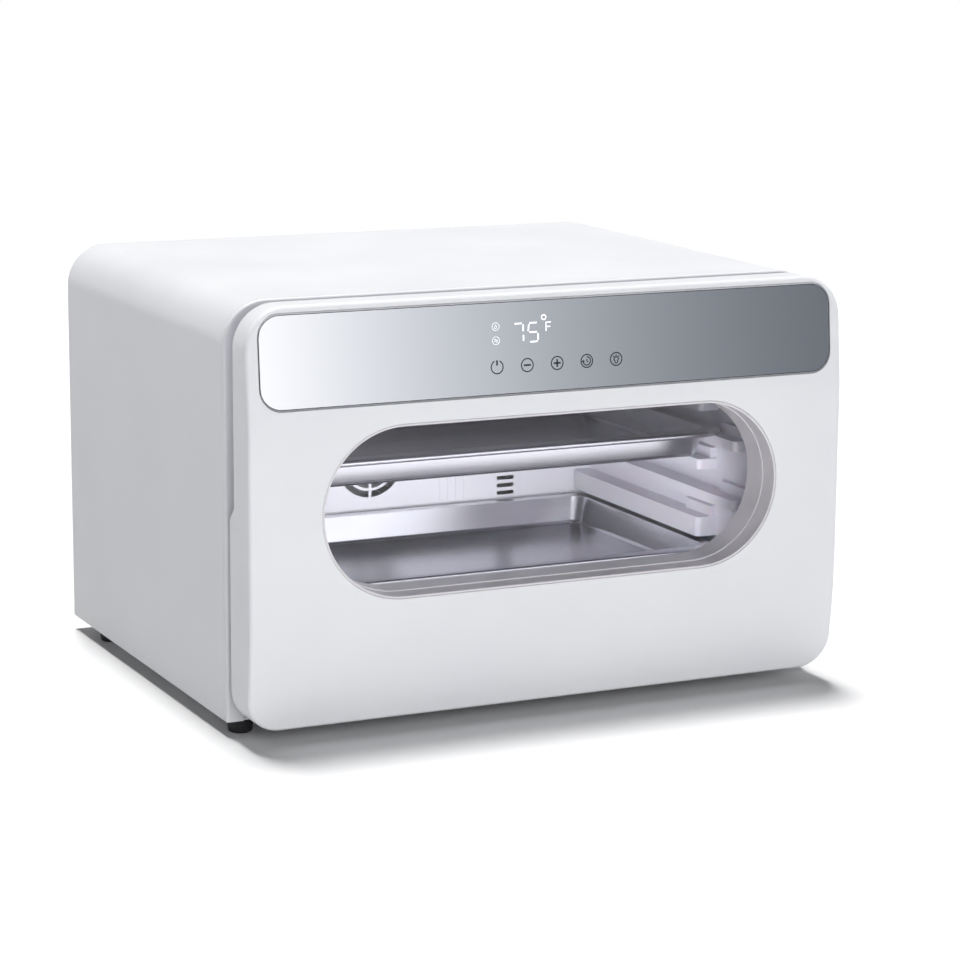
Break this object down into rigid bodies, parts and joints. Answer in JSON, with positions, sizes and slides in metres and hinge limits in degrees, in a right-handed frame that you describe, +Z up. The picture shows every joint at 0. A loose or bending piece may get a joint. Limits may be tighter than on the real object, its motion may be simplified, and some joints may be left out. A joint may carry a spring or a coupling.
{
  "type": "dough proofer",
  "caption": "Countertop dough proofer: heated cabinet with a drop-down windowed door, touch panel, fan chamber, rack guides and pans.",
  "frame": {"origin": "on the counter, under the middle of the whole object with its door closed", "axes": "+X to the right as seen from the door, +Y from the door to the rear, +Z up"},
  "size_m": [0.53, 0.438, 0.3475],
  "materials": {
    "cabinet_paint": "satin white powder coat",
    "rear_paint": "satin white powder coat",
    "zinc_sheet": "bare galvanised sheet",
    "steel_screws": "plated",
    "frame_plastic": "moulded white",
    "liner_enamel": "smooth white enamel",
    "baffle_enamel": "smooth white enamel",
    "gasket_silicone": "soft pale silicone",
    "guide_plastic": "translucent grey moulding",
    "lens_plastic": "frosted diffuser",
    "circuit_board": "solder-masked board",
    "motor_steel": "pressed can",
    "heater_sheath": "annealed sheath",
    "probe_steel": "polished tip",
    "cutout_phenolic": "phenolic cap",
    "standoff_nylon": "nylon",
    "inlet_plastic": "black moulding",
    "foot_rubber": "black rubber",
    "door_plastic": "soft-gloss white moulding",
    "inner_plastic": "white moulding",
    "clear_window": "clear moulded plastic",
    "panel_mirror": "one-way mirror with printed touch fields",
    "display_plastic": "lit white digits seen through the panel",
    "spring_steel": "wound wire",
    "hinge_steel": "plated bracket",
    "pin_steel": "ground pin",
    "bush_brass": "sintered bush",
    "magnet_nickel": "nickel-plated",
    "impeller_aluminium": "pressed sheet",
    "pan_steel": "bright pressed stainless"
  },
  "bodies": {
    "cabinet": {"outer_shell": "cabinet_paint", "base_pan": "zinc_sheet", "rear_panel": "rear_paint", "rear_screws": "steel_screws", "front_frame": "frame_plastic", "chamber_liner": "liner_enamel", "door_gasket": "gasket_silicone", "rear_baffle": "baffle_enamel", "baffle_screws": "steel_screws", "rack_guide_right": "guide_plastic", "rack_guide_left": "guide_plastic", "guide_screws": "steel_screws", "lamp_lens": "lens_plastic", "lamp_board": "circuit_board", "plenum_back": "zinc_sheet", "fan_motor": "motor_steel", "motor_screws": "steel_screws", "heater_ring": "heater_sheath", "temperature_probe": "probe_steel", "thermal_cutout": "cutout_phenolic", "power_board": "circuit_board", "board_standoffs": "standoff_nylon", "power_inlet": "inlet_plastic", "foot_front_left": "foot_rubber", "foot_front_right": "foot_rubber", "foot_rear_left": "foot_rubber", "foot_rear_right": "foot_rubber", "foot_screws": "steel_screws", "hinge_bracket_right": "hinge_steel", "hinge_bracket_left": "hinge_steel", "hinge_screws": "steel_screws", "catch_magnets": "magnet_nickel"},
    "door": {"door_shell": "door_plastic", "door_inner_panel": "inner_plastic", "door_screws": "steel_screws", "window_dish": "clear_window", "window_seal": "gasket_silicone", "control_panel": "panel_mirror", "control_board": "circuit_board", "board_screws": "steel_screws", "display_module": "display_plastic", "touch_springs": "spring_steel", "strike_strips": "hinge_steel", "hinge_pin_left": "pin_steel", "hinge_pin_right": "pin_steel", "hinge_bushes_left": "bush_brass", "hinge_bushes_right": "bush_brass"},
    "fan": {"fan_impeller": "impeller_aluminium", "fan_shaft": "pin_steel", "impeller_nut": "steel_screws"},
    "lower_pan": {"lower_pan": "pan_steel"},
    "upper_pan": {"upper_pan": "pan_steel"}
  },
  "joints": [
    {"name": "door_hinge", "type": "hinge", "parent": "cabinet", "child": "door", "pos_m": [0, -0.201, 0.027], "axis": [1, 0, 0], "range_deg": [0, 90]},
    {"name": "fan_spin", "type": "hinge", "parent": "cabinet", "child": "fan", "pos_m": [0, 0.183, 0.1425], "axis": [0, 1, 0], "continuous": true},
    {"name": "lower_pan_slide", "type": "slide", "parent": "cabinet", "child": "lower_pan", "axis": [0, -1, 0], "range_m": [0, 0.1418]},
    {"name": "upper_pan_slide", "type": "slide", "parent": "cabinet", "child": "upper_pan", "axis": [0, -1, 0], "range_m": [0, 0.1889]}
  ],
  "couplings": [
    {"joint": "lower_pan_slide", "follows": "door_hinge", "m_per_rad": 0.09},
    {"joint": "upper_pan_slide", "follows": "door_hinge", "m_per_rad": 0.12}
  ]
}
